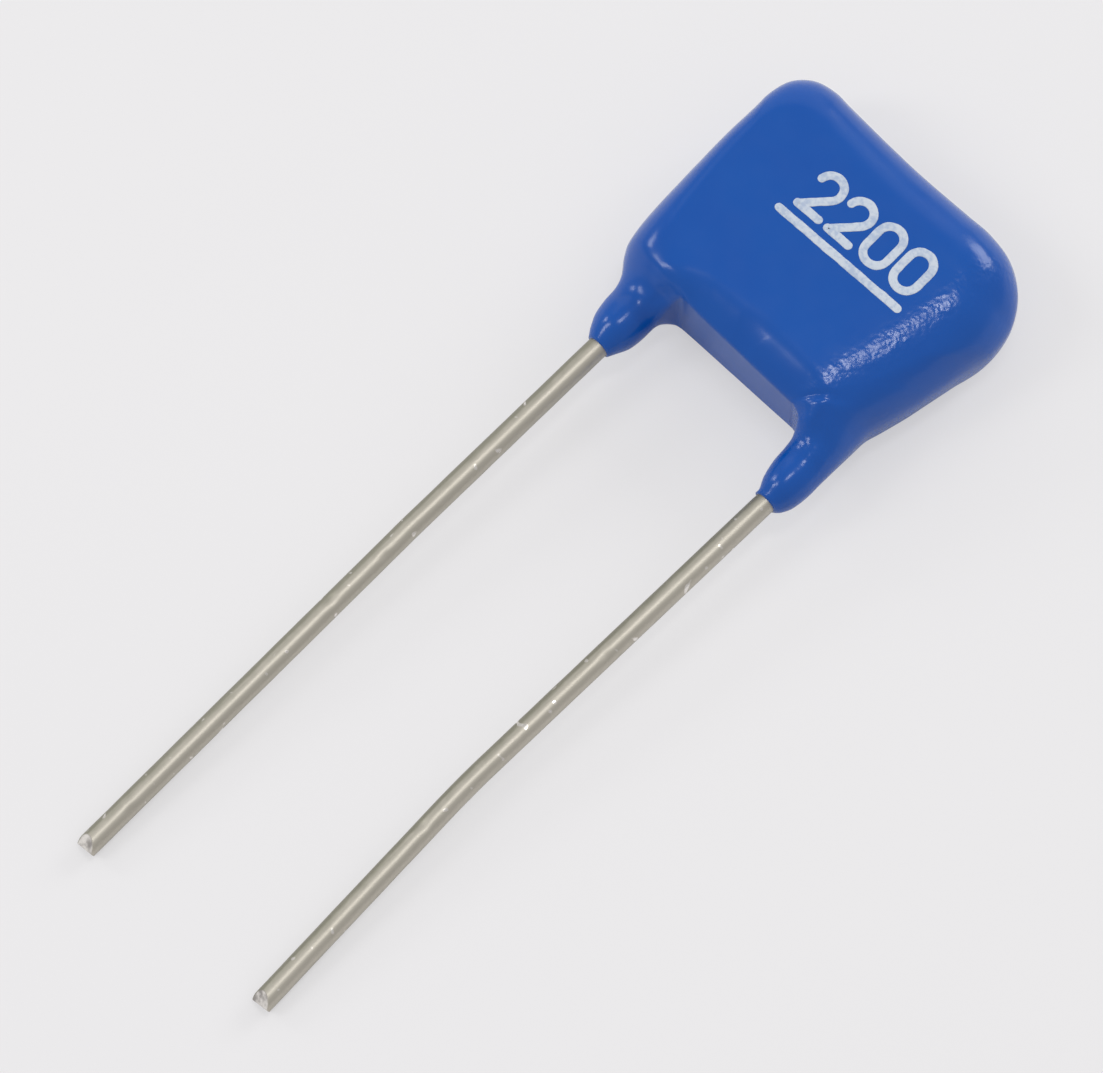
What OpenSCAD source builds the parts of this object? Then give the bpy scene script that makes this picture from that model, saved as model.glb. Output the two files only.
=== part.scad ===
// Radial-leaded multilayer ceramic capacitor, dipped in epoxy, lying flat on a surface.
// X runs across the two leads, the leads point to -Y and the broad face looks to +Z.
// Heights are measured from the surface, and y_seat is where the coating ends on the leads.

/* [Leads] */
// Distance between the two lead axes
lead_pitch = 5.08; // [4.2:0.01:6.2]
// Diameter of the tinned wire
lead_d = 0.5; // [0.4:0.05:0.6]
// Length of the left lead after its bend at the coating
left_free = 15.4; // [12:0.1:20]
// Length of the right lead after its bend at the coating
right_free = 15.2; // [12:0.1:20]
// Length of the left lead between the bend at the coating and the slight bend
left_bend_at = 5.3; // [3:0.1:9]
// Length of the right lead between the bend at the coating and the slight bend
right_bend_at = 8.0; // [3:0.1:9]
// Angle of that bend on the left, towards +X
left_bend = 0.8; // [0.6:0.1:6]
// Angle of that bend on the right, towards +X
right_bend = 3.3; // [0.6:0.1:6]
// Angle by which the left lead turns towards +X where it leaves the coating
left_toe = -0.3; // [-2:0.1:2]
// Angle by which the right lead turns towards +X where it leaves the coating
right_toe = -0.9; // [-2:0.1:2]
// Radius of the bend at the coating, on the wire's axis
mouth_bend_r = 4; // [2:0.5:6]
// Radius of the slight bend further down, on the wire's axis
sway_bend_r = 25; // [10:1:40]
// Extra radius of the wire in a bend, where bending has swollen it
bend_swell = 0.002; // [0.001:0.001:0.01]
// Slope of the upper face that the side cutter leaves on each tip
tip_upper_slope = 48; // [20:1:60]
// Slope of the lower face that the side cutter leaves on each tip
tip_lower_slope = 15; // [5:1:30]
// Turn of both faces about the wire
tip_turn = 25; // [0:1:45]
// Length of each lead that lies along the chip
lead_lap = 3.5; // [2:0.1:4]

/* [Chip] */
// Number of inner electrodes, alternately joined to the left and the right end
electrode_count = 12; // [4:1:16]
// Thickness of the ceramic between two electrodes
layer_t = 0.06; // [0.04:0.01:0.08]
// Thickness of one electrode
electrode_t = 0.01; // [0.01:0.005:0.02]
// Thickness of the plain ceramic above and below the electrodes
cover_t = 0.3; // [0.2:0.05:0.5]
// Width of the ceramic block along the leads
chip_w = 4.8; // [4:0.1:6]
// Gap between an electrode's free end and the opposite termination
end_gap = 0.45; // [0.2:0.05:0.8]
// Gap between an electrode's sides and the sides of the block
side_gap = 0.4; // [0.2:0.05:0.8]
// Thickness of the end terminations
term_t = 0.05; // [0.02:0.01:0.08]
// Length of the termination bands on the block's long faces
term_band = 0.6; // [0.3:0.05:1]

/* [Solder] */
// Thickness of the solder between a termination and its lead
solder_gap = 0.03; // [0.02:0.01:0.08]
// Thickness of the solder skin round the lead
solder_skin = 0.05; // [0.03:0.01:0.1]
// Half width of the solder fillet on the termination
solder_half = 0.55; // [0.45:0.05:0.7]
// Distance from the block's lower edge to the start of the solder
solder_inset = 0.35; // [0.1:0.05:1]

/* [Coating] */
// Coating over the chip's two broad faces
coat_face = 0.6; // [0.4:0.05:0.9]
// Coating below the chip, between the legs
coat_bottom = 0.27; // [0.15:0.01:0.4]
// Coating above the chip
coat_top = 0.79; // [0.6:0.01:1.2]
// Coating outside the left lead, at the widest place
coat_left = 1.17; // [0.8:0.01:1.4]
// Coating outside the left lead at the shoulder above the leg
coat_shoulder = 0.97; // [0.6:0.01:1.2]
// Coating outside the right lead, at the widest place
coat_right = 0.84; // [0.6:0.01:1.4]
// Coating outside the right lead at the waist above the leg
coat_waist = 0.23; // [0.2:0.01:0.6]
// Distance over which the left side is rounded
round_left = 1.05; // [0.8:0.05:1.6]
// Distance over which the right side is rounded
round_right = 1.65; // [0.8:0.05:2]
// Length of the coated legs below the body
leg_run = 1.82; // [1.4:0.01:2.4]
// Diameter of the coated legs
leg_d = 1.15; // [1:0.01:1.4]
// Thickness of the coating where the lead comes out of it
mouth_wall = 0.05; // [0.04:0.01:0.2]
// Plan radius of the upper left corner
corner_left_r = 1; // [0.8:0.05:2]
// Plan radius of the upper right corner
corner_right_r = 1.85; // [1:0.05:2.6]
// Depth of the shallow hollow in the top edge
top_dip = 0.07; // [0:0.01:0.2]
// Height of the lower wall, between its two ridges, beside the left leg
wall_left = 1.96; // [1.7:0.02:2.4]
// Height of the lower wall beside the right leg
wall_right = 1.56; // [1.4:0.02:2]
// Radius of the two ridges
edge_r = 0.15; // [0.1:0.01:0.3]
// Distance over which the faces fall to the ridges beside the left leg
fall_left = 0.45; // [0.3:0.05:1.2]
// Distance over which they fall beside the right leg
fall_right = 1; // [0.5:0.05:1.2]

/* [Hidden] */

$fn = 48;
LEFT = -1;
RIGHT = 1;
overcut = 1;  // how far a cutting solid runs past the face it cuts

// Chip
stack_pitch = layer_t + electrode_t;
chip_t = electrode_count * electrode_t + (electrode_count - 1) * layer_t + 2 * cover_t;
term_span = lead_pitch - lead_d - 2 * solder_gap;
chip_l = term_span - 2 * term_t;

// Leads
lead_x = lead_pitch / 2;
lead_r = lead_d / 2;

// Coating
half_t = chip_t / 2 + term_t + coat_face;
leg_r = leg_d / 2;
mouth_r = lead_r + mouth_wall;
mid_z = half_t;

// Heights above the seat, along Y
body_base = leg_run;
chip_base = body_base + coat_bottom + term_t;
body_top = chip_base + chip_w + term_t + coat_top;
lead_top = chip_base + lead_lap;

// Angle by which a lead of the given free length falls so that its tip touches the surface:
// the bend at the mouth and the run after it together drop by mid_z less the wire's radius
function fall_angle(free) =
    asin((mid_z - mouth_bend_r) / norm([mouth_bend_r - lead_r, free]))
    + atan2(mouth_bend_r - lead_r, free);

// How far such a lead reaches out from the coating
function reach(free) = mouth_bend_r * sin(fall_angle(free)) + free * cos(fall_angle(free));

// The seat lies where the whole part, from the longer lead's tip to the body's top, is centred on Y = 0
y_seat = (max(reach(left_free), reach(right_free)) - body_top) / 2;

function mix(a, b, t) = a + (b - a) * t;
function ease(t) = t * t * (3 - 2 * t);
function electrode_name(i) = str("electrode_", i < 10 ? "0" : "", i);

// ---- Outer skin of the coating: a loft between two rails ----
// A station is one cross-section, upright on the line from the outer rail to the inner rail:
// [outer x, outer y, inner x, inner y, half thickness outside, half thickness inside,
//  inner edge radius, width of the outer rounding, width of the fall to the ridge].
// The stations run from the left leg's mouth up round the body and down to the right leg's mouth.

body_left = -(lead_x + lead_r + coat_left);
body_right = lead_x + lead_r + coat_right;
shoulder_x = -(lead_x + lead_r + coat_shoulder);
waist_x = lead_x + lead_r + coat_waist;

// Each leg's stations: [share of leg_run, outer and inner half width, half thickness], the last
// three as shares of leg_r. The mouth comes before them.
left_leg_shape = [
    [0.11, 0.76, 0.66, 0.73], [0.27, 1, 0.86, 0.95], [0.46, 1.13, 0.92, 1.03], [0.66, 1.2, 0.92, 1]
];
right_leg_shape = [
    [0.065, 0.7, 0.52, 0.66], [0.2, 0.87, 0.73, 0.87], [0.41, 0.94, 0.9, 0.99], [0.65, 0.92, 0.98, 1.02]
];

function leg_station(side, y, outer, inner, half, fall) =
    [side * (lead_x + outer), y, side * (lead_x - inner), y, half, half, half, half, fall];

function leg_stations(side, shape, fall) = concat(
    [leg_station(side, 0, mouth_r, mouth_r, mouth_r, fall)],
    [for (s = shape) leg_station(side, s[0] * leg_run, s[1] * leg_r, s[2] * leg_r, s[3] * leg_r, fall)]
);

// Where the lower wall of the body ends beside the legs
fillet_left = 0.74;   // distance of its end from the lead, on the left
fillet_right = 0.96;  // and on the right
base_left = -lead_x + fillet_left;
base_right = lead_x - fillet_right;

// Outer rail round the body, with its corners as arcs
shoulder_y = body_base + 0.4;  // where the left side begins
waist_y = body_base + 0.9;     // where the right side ends
corner_left = [body_left + corner_left_r, body_top - corner_left_r];
corner_right = [body_right - corner_right_r, body_top - corner_right_r];
body_rail = concat(
    [[shoulder_x, shoulder_y]],
    [[mix(shoulder_x, body_left, 0.55), mix(shoulder_y, corner_left[1], 0.2)]],
    [[body_left, mix(shoulder_y, corner_left[1], 0.65)]],
    [for (a = [180 : -30 : 90]) corner_left + corner_left_r * [cos(a), sin(a)]],
    [[mix(corner_left[0], corner_right[0], 0.5), body_top - top_dip]],
    [for (a = [90 : -22.5 : 0]) corner_right + corner_right_r * [cos(a), sin(a)]],
    [[mix(waist_x, body_right, 0.5), mix(waist_y, corner_right[1], 0.42)]],
    [[waist_x, waist_y]]
);
body_last = len(body_rail) - 1;

// The faces are level all round, apart from the first two and the last two stations, where they
// bend down to the roots: shares of half_t, counted from either end
left_bow = [0.95, 0.992];
right_bow = [0.93, 0.992];
function body_half(i) = half_t * (
    i < 2 ? left_bow[i] :
    i > body_last - 2 ? right_bow[body_last - i] :
    1
);

body_stations = [
    for (i = [0 : body_last]) let (share = i / body_last)
        concat(body_rail[i], [mix(base_left, base_right, share), body_base, body_half(i)],
               [mix(wall_left, wall_right, share) / 2, edge_r, mix(round_left, round_right, share)],
               [mix(fall_left, fall_right, share)])
];

// Stations through a root, from a leg's last station to the body's first: the outer rail and the
// thickness swell in an S, and the inner rail turns a quarter of an ellipse into the lower wall
function root_station(leg, body, t) = [
    for (k = [0 : len(leg) - 1])
        mix(leg[k], body[k], k == 1 ? t : k == 2 ? 1 - cos(90 * t) : k == 3 ? sin(90 * t) : ease(t))
];
function root_stations(leg, body) = [for (t = [0.3, 0.65]) root_station(leg, body, t)];

left_leg = leg_stations(LEFT, left_leg_shape, fall_left);
right_leg = leg_stations(RIGHT, right_leg_shape, fall_right);
function last(list) = list[len(list) - 1];
function reversed(list) = [for (i = [len(list) - 1 : -1 : 0]) list[i]];

stations = concat(
    left_leg,
    root_stations(last(left_leg), body_stations[0]),
    body_stations,
    reversed(root_stations(last(right_leg), last(body_stations))),
    reversed(right_leg)
);

// Catmull-Rom curve through the stations, with this many sections to each span
span_steps = 3;
function spline(a, b, c, d, t) =
    (2 * b + (c - a) * t + (2 * a - 5 * b + 4 * c - d) * t * t + (3 * b - a - 3 * c + d) * t * t * t) / 2;
sections = concat(
    [for (i = [0 : len(stations) - 2], k = [0 : span_steps - 1])
        spline(stations[max(i - 1, 0)], stations[i], stations[i + 1],
               stations[min(i + 2, len(stations) - 1)], k / span_steps)],
    [last(stations)]
);

// Upper half of a section of width w, as [distance from the inner rail, height]. The outer side is a
// quarter of a superellipse, an ellipse in a narrow section and fuller in a wide one. The face runs
// level, then falls ever more steeply to the ridge, which turns on in an arc into the lower wall.
round_share = 0.49;   // largest share of a narrow section's width that one rounding takes
fall_share = 0.9;     // largest share of the room between the roundings that the fall takes
fall_power = 1.9;     // how the fall steepens
fall_steepest = 0.8;  // its largest drop over its width, if that is at least the ridge's radius
full_power = 2.5;     // the superellipse's power in sections wider than full_w
full_w = 2.2;
round_power = 2;      // and in sections narrower than narrow_w
narrow_w = 1.2;
function half_section(w, outer_half, inner_half, inner_r, outer_r, fall_w) =
    let (
        round_w = min(outer_r, round_share * w),
        ridge = min(inner_r, round_share * w, inner_half),
        level = w - round_w,
        fall = min(fall_w, fall_share * (level - ridge)),
        most = fall_steepest * fall * min(1, fall / ridge),
        drop = max(0, min(outer_half - inner_half, most)),
        slope = atan2(fall_power * drop, fall),
        lip = ridge * (1 - sin(slope)),
        foot = outer_half - drop - ridge * cos(slope),
        wide = max(0, min(1, (w - narrow_w) / (full_w - narrow_w))),
        power = 2 / mix(round_power, full_power, wide)
    )
    concat(
        [for (a = [0 : 11.25 : 90]) [level + round_w * pow(cos(a), power), outer_half * sin(a)]],
        [[mix(level, lip + fall, 0.5), outer_half]],
        [for (q = [0 : 0.25 : 1]) [lip + fall * (1 - q), outer_half - drop * pow(q, fall_power)]],
        [for (q = [0.5, 1]) let (a = mix(slope, 90, q)) [ridge * (1 - sin(a)), foot + ridge * cos(a)]]
    );

// Whole section: the upper half and its mirror image, which share the outermost point. The curve
// through the stations may swing a little past half_t, which is the most that a section takes.
function ring(s) =
    let (
        outer = [s[0], s[1]],
        inner = [s[2], s[3]],
        w = norm(outer - inner),
        half = half_section(w, min(s[4], half_t), s[5], s[6], s[7], s[8]),
        outline = concat(half, [for (i = [len(half) - 1 : -1 : 1]) [half[i][0], -half[i][1]]])
    )
    [for (p = outline) let (xy = mix(inner, outer, p[0] / w)) [xy[0], xy[1], mid_z + p[1]]];

module skin() {
    rings = [for (s = sections) ring(s)];
    count = len(rings[0]);
    final = len(rings) - 1;
    sides = [
        for (r = [0 : final - 1], i = [0 : count - 1])
            let (j = (i + 1) % count)
            [r * count + j, r * count + i, (r + 1) * count + i, (r + 1) * count + j]
    ];
    caps = [[for (i = [0 : count - 1]) i], [for (i = [count - 1 : -1 : 0]) final * count + i]];
    polyhedron(points = [for (r = rings, p = r) p], faces = concat(sides, caps));
}

// ---- Shared shapes, in the seat's frame ----

// A box by its lower and upper corner
module box(low, high) {
    translate(low) cube(high - low);
}

module chip_block() {
    box([-chip_l / 2, chip_base, mid_z - chip_t / 2],
        [chip_l / 2, chip_base + chip_w, mid_z + chip_t / 2]);
}

// Outer shape of one end termination, which takes in the block's end
module termination_block(side) {
    inner_x = side * (chip_l / 2 - term_band);
    outer_x = side * term_span / 2;
    box([min(inner_x, outer_x), chip_base - term_t, mid_z - chip_t / 2 - term_t],
        [max(inner_x, outer_x), chip_base + chip_w + term_t, mid_z + chip_t / 2 + term_t]);
}

// Section of the solder across the lead, with the termination at the left: a skin round the wire
// and a hollow fillet on each side of it
module solder_profile() {
    to_lead = solder_gap + lead_r;
    hollow_r = solder_half - lead_r - solder_skin / 2;
    translate([to_lead, 0]) circle(r = lead_r + solder_skin);
    difference() {
        translate([0, -solder_half]) square([to_lead, 2 * solder_half]);
        for (up = [-1, 1]) translate([to_lead, up * solder_half]) circle(r = hollow_r);
    }
}

// Outer shape of the solder on one end, from the inset to the inner end of the lead
module solder_block(side) {
    reach = lead_lap - solder_inset;
    translate([side * term_span / 2, chip_base + solder_inset + reach, mid_z])
        mirror([side < 0 ? 1 : 0, 0, 0])
            rotate([90, 0, 0])
                linear_extrude(height = reach) solder_profile();
}

// The straight length of a lead, from its inner end to the coating's mouth and on by the given length
module lead_shank(side, beyond) {
    translate([side * lead_x, lead_top, mid_z])
        rotate([90, 0, 0])
            cylinder(h = lead_top + beyond, r = lead_r);
}

// Length of a bend along the wire's axis
function arc_length(bend_r, angle) = bend_r * angle * PI / 180;

// How far the straight wire on each side runs on into a bend, within its swollen radius
longest_lap = 0.05;
function lap(bend_r, angle) = min(longest_lap, arc_length(bend_r, angle) / 3);

// A bend of wire that starts along +Z and turns towards +X
module wire_bend(bend_r, angle) {
    translate([bend_r, 0, 0])
        rotate([90, 0, 180])
            rotate_extrude(angle = angle) translate([bend_r, 0]) circle(r = lead_r + bend_swell);
}

// Moves its children past such a bend, to its end
module after_bend(bend_r, angle) {
    translate([bend_r * (1 - cos(angle)), 0, bend_r * sin(angle)]) rotate([0, angle, 0]) children();
}

// A straight run of wire along +Z that reaches back into the bend before it and on into the next
module wire_run(run, lap_before, lap_after) {
    translate([0, 0, -lap_before]) cylinder(h = lap_before + run + lap_after, r = lead_r);
}

// The two faces of a side cutter's jaws, which meet in a ridge across the wire at the height run
module cutter_jaws(run) {
    for (jaw = [[90, tip_upper_slope], [-90, tip_lower_slope]])
        rotate([0, 0, tip_turn + jaw[0]])
            translate([0, -lead_d, run])
                rotate([0, jaw[1], 0])
                    cube([lead_d, 2 * lead_d, lead_d]);
}

// ---- Pieces ----

module coating() {
    color([0.13, 0.34, 0.67])
        translate([0, y_seat, 0])
            difference() {
                skin();
                chip_block();
                for (side = [LEFT, RIGHT]) {
                    termination_block(side);
                    solder_block(side);
                    lead_shank(side, overcut);
                }
            }
}

module dielectric() {
    color([0.5, 0.39, 0.3])
        translate([0, y_seat, 0])
            difference() {
                chip_block();
                for (i = [1 : electrode_count]) electrode_plate(i);
            }
}

// One electrode: odd ones reach the left end of the block, even ones the right end
module electrode_plate(i) {
    from_left = i % 2 == 1;
    low_z = mid_z - chip_t / 2 + cover_t + (i - 1) * stack_pitch;
    box([-chip_l / 2 + (from_left ? 0 : end_gap), chip_base + side_gap, low_z],
        [chip_l / 2 - (from_left ? end_gap : 0), chip_base + chip_w - side_gap, low_z + electrode_t]);
}

module electrode(i) {
    color([0.74, 0.74, 0.76]) translate([0, y_seat, 0]) electrode_plate(i);
}

module termination(side) {
    color([0.82, 0.82, 0.84])
        translate([0, y_seat, 0])
            difference() {
                termination_block(side);
                chip_block();
            }
}

module solder(side) {
    color([0.66, 0.67, 0.69])
        translate([0, y_seat, 0])
            difference() {
                solder_block(side);
                termination_block(side);
                lead_shank(side, 0);
            }
}

// A lead: the shank in the body, the bend down and sideways at the mouth, a run, the slight bend
// and the last run to the cut tip
module lead(side, free, toe, bend_at, bend) {
    fall = fall_angle(free);
    turn = norm([fall, toe]);
    roll = atan2(-fall, toe);
    mouth_lap = lap(mouth_bend_r, turn);
    sway_lap = lap(sway_bend_r, bend);
    last_run = free - bend_at - arc_length(sway_bend_r, bend);
    color([0.68, 0.67, 0.61])
        translate([0, y_seat, 0]) {
            lead_shank(side, mouth_lap);
            translate([side * lead_x, 0, mid_z])
                rotate([90, 0, 0]) {
                    rotate([0, 0, roll]) wire_bend(mouth_bend_r, turn);
                    rotate([0, 0, roll])
                        after_bend(mouth_bend_r, turn)
                            rotate([0, 0, -roll]) {
                                wire_run(bend_at, mouth_lap, sway_lap);
                                translate([0, 0, bend_at]) {
                                    wire_bend(sway_bend_r, bend);
                                    after_bend(sway_bend_r, bend)
                                        difference() {
                                            wire_run(last_run, sway_lap, 0);
                                            cutter_jaws(last_run);
                                        }
                                }
                            }
                }
        }
}

coating();
dielectric();
for (i = [1 : electrode_count])
    electrode(i);
termination(LEFT);  // termination_left
termination(RIGHT);  // termination_right
solder(LEFT);  // solder_left
solder(RIGHT);  // solder_right
lead(LEFT, left_free, left_toe, left_bend_at, left_bend);  // lead_left
lead(RIGHT, right_free, right_toe, right_bend_at, right_bend);  // lead_right
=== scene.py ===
"""Looks of a radial-leaded multilayer ceramic capacitor, dipped in epoxy and lying flat.

Sizes are in millimetres until a mesh is made, and the mesh holds metres.  Shapes are worked
out in the seat frame: X runs across the two leads, Y is measured up the body from where the
coating ends on the leads, and Z from the surface that the part lies on.
"""

import logging
import math
from abc import ABC, abstractmethod
from dataclasses import dataclass
from enum import Enum

import bpy
import numpy as np
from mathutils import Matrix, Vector


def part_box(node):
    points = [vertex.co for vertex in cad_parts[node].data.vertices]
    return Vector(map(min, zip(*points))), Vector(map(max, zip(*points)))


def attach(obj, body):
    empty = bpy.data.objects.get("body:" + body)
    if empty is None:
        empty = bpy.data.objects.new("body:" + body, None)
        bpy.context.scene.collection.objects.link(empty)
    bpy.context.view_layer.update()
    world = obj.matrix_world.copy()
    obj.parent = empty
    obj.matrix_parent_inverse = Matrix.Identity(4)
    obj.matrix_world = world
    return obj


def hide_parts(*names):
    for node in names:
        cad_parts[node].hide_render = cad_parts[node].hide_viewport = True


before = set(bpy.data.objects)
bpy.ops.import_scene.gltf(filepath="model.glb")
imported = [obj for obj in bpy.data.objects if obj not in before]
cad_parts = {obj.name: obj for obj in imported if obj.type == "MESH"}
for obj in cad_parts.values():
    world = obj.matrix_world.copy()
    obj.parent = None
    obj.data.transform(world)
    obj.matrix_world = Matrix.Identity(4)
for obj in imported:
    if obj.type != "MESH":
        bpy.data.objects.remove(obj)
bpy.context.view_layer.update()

# One millimetre in metres, a length too short to have a direction, and the most turning, in
# radians, that one step along a line counts for.
MM = 0.001
NO_LENGTH = 1e-12
MOST_TURN = 0.5
# Sockets of a node that mixes colours: the share and the two colours, and the mixed colour.
MIX_INPUTS = (0, 6, 7)
MIX_OUTPUT = 2
Array = np.ndarray
Pair = tuple[float, float]
Triple = tuple[float, float, float]
Quad = tuple[float, float, float, float]
Colour = Quad
Piece = bpy.types.Object
Material = bpy.types.Material
Socket = bpy.types.NodeSocket
Feed = Socket | float | Colour
log = logging.getLogger("capacitor")


class Side(Enum):
    """Which of the two leads a piece belongs to."""

    LEFT = -1
    RIGHT = 1


# ---- Arithmetic that the shapes share ----


def mix(a: Array | float, b: Array | float, t: Array | float) -> Array | float:
    """Returns the point at share t of the way from a to b."""
    return a + (b - a) * t


def ease(t: Array | float) -> Array | float:
    """Returns the smooth step 3t^2 - 2t^3."""
    return t * t * (3 - 2 * t)


def bell(distance: Array, width: float) -> Array:
    """Returns a Gaussian of the distance, 1 at nought and 1/e at one width."""
    return np.exp(-((distance / width) ** 2))


def arc(centre: Array, radius: float, start: float, end: float, count: int) -> Array:
    """Returns points on an arc, evenly spaced from the start angle to the end, in degrees."""
    angle = np.radians(np.linspace(start, end, count))
    return np.asarray(centre) + radius * np.stack([np.cos(angle), np.sin(angle)], axis=1)


def catmull_rom(stations: Array, steps: int) -> Array:
    """A Catmull-Rom curve through rows of numbers, each column on its own.

    A span from b to c, with neighbours a and d, is half of
    2b + (c - a)t + (2a - 5b + 4c - d)t^2 + (3b - a - 3c + d)t^3, and the end rows are doubled.

    Args:
        stations: The rows that the curve passes through.
        steps: How many rows each span gives.

    Returns:
        The rows along the curve, the last station included.
    """
    padded = np.vstack([stations[:1], stations, stations[-1:]])
    a, b, c, d = (padded[i : len(padded) - 3 + i, None, :] for i in range(4))
    t = (np.arange(steps) / steps)[None, :, None]
    square, cube = 2 * a - 5 * b + 4 * c - d, 3 * b - a - 3 * c + d
    rows = (2 * b + (c - a) * t + square * t**2 + cube * t**3) / 2
    return np.vstack([rows.reshape(-1, stations.shape[1]), stations[-1:]])


def spread(rows: Array, count: int, bend_worth: float = 0.0) -> Array:
    """Spreads the points of each row anew, evenly by length plus the angle turned times its worth.

    The running lengths of all rows are laid end to end, so that one interpolation serves them all.

    Args:
        rows: Rows by points by numbers.
        count: How many points each row gets, its ends included.
        bend_worth: Length that one radian of turning is worth.

    Returns:
        Rows by count by numbers.
    """
    step = np.diff(rows, axis=1)
    length = np.linalg.norm(step, axis=-1)
    heading = step / np.maximum(length, NO_LENGTH)[..., None]
    turned = np.linalg.norm(np.diff(heading, axis=1), axis=-1)
    length[:, 1:] += bend_worth * np.minimum(turned, MOST_TURN)
    run = np.concatenate([np.zeros((len(rows), 1)), np.cumsum(length, axis=1)], axis=1)
    start = 2 * np.arange(len(rows))[:, None]
    known = (start + run / run[:, -1:]).ravel()
    wanted = (start + np.linspace(0, 1, count)).ravel()
    columns = [np.interp(wanted, known, rows[..., i].ravel()) for i in range(rows.shape[-1])]
    return np.stack(columns, axis=-1).reshape(len(rows), count, -1)


@dataclass(frozen=True)
class Ripple:
    """Smooth random waves: a sum of sines whose directions, lengths and phases are drawn once."""

    seed: int
    wavelength: float
    count: int = 40
    shortest: float = 0.7
    longest: float = 1.6

    def __call__(self, points: Array) -> Array:
        """The waves' height at some points.

        Each wave is the sine of 2 pi times the point's distance along a random direction, over
        a wavelength between shortest and longest times the named one, plus a random phase.  The
        sum is divided by twice the square root of their number.

        Args:
            points: Any array of points, with three numbers in its last axis.

        Returns:
            Heights of about -1 to 1, in the shape of the points.
        """
        draw = np.random.default_rng(self.seed)
        direction = draw.normal(size=(3, self.count))
        direction /= np.linalg.norm(direction, axis=0)
        length = self.wavelength * draw.uniform(self.shortest, self.longest, self.count)
        phase = draw.uniform(0, 2 * np.pi, self.count)
        sines = np.sin(points @ (2 * np.pi * direction / length) + phase)
        return sines.sum(axis=-1) / math.sqrt(self.count) / 2


def grid_normals(grid: Array) -> Array:
    """Outward unit normals of a grid whose columns run round.

    Each is the cross product of the grid's difference round and its difference along.

    Args:
        grid: Points as rows along and columns round, with three numbers in the last axis.

    Returns:
        One unit normal for each point.
    """
    along = np.gradient(grid, axis=0)
    round_ = np.roll(grid, -1, axis=1) - np.roll(grid, 1, axis=1)
    normal = np.cross(round_, along)
    return normal / np.maximum(np.linalg.norm(normal, axis=-1, keepdims=True), NO_LENGTH)


def tube_faces(rows: int, columns: int, offset: int = 0) -> list[list[int]]:
    """Faces of a grid that closes round, with a pole beyond its first and last row.

    Args:
        rows: Rows of the grid, along it.
        columns: Points in a row, round it.
        offset: Number of the grid's first vertex.  The two poles follow the grid's own vertices.

    Returns:
        Quads between the rows and a fan of triangles at each end, all facing outwards.
    """
    index = offset + np.arange(rows * columns).reshape(rows, columns)
    after = np.roll(index, -1, axis=1)
    quads = np.stack([index[:-1], after[:-1], after[1:], index[1:]], axis=-1).reshape(-1, 4)
    first = np.full(columns, offset + rows * columns)
    start = np.stack([first, after[0], index[0]], axis=-1)
    end = np.stack([first + 1, index[-1], after[-1]], axis=-1)
    return quads.tolist() + start.tolist() + end.tolist()


def tube_points(grid: Array) -> Array:
    """Returns the vertices that tube_faces numbers: the grid's own, then each end row's middle."""
    return np.vstack([grid.reshape(-1, 3), grid[0].mean(axis=0), grid[-1].mean(axis=0)])


def enter(name: str, data: bpy.types.ID) -> Piece:
    """Returns a new object that holds some data, linked to the scene."""
    made = bpy.data.objects.new(name, data)
    bpy.context.scene.collection.objects.link(made)
    return made


@dataclass(frozen=True)
class Seat:
    """Where the seat frame lies in the part's frame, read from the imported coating."""

    y: float
    mid_z: float

    @classmethod
    def from_frame(cls) -> "Seat":
        """Returns the seat: the coating's lowest Y, and half of its height."""
        low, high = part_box("coating")
        return cls(y=low.y / MM, mid_z=high.z / MM / 2)

    def mesh(self, name: str, points: Array, faces: list[list[int]]) -> Piece:
        """Makes an object at the origin from points in the seat frame.

        Args:
            name: Name of the piece.
            points: Vertices in millimetres, in the seat frame.
            faces: Vertex numbers of each face.

        Returns:
            The new object, smooth all over and linked to the scene.
        """
        data = bpy.data.meshes.new(name)
        data.from_pydata((points + [0, self.y, 0]) * MM, [], faces)
        data.polygons.foreach_set("use_smooth", np.ones(len(data.polygons), bool))
        data.validate()
        data.update()
        return enter(name, data)


def set_share(piece: Piece, name: str, share: Array) -> None:
    """Gives a piece a named number for each of its vertices, for its finish to read."""
    layer = piece.data.attributes.new(name, "FLOAT", "POINT")
    layer.data.foreach_set("value", share.astype(np.float32))


# ---- Finishes ----


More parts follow.
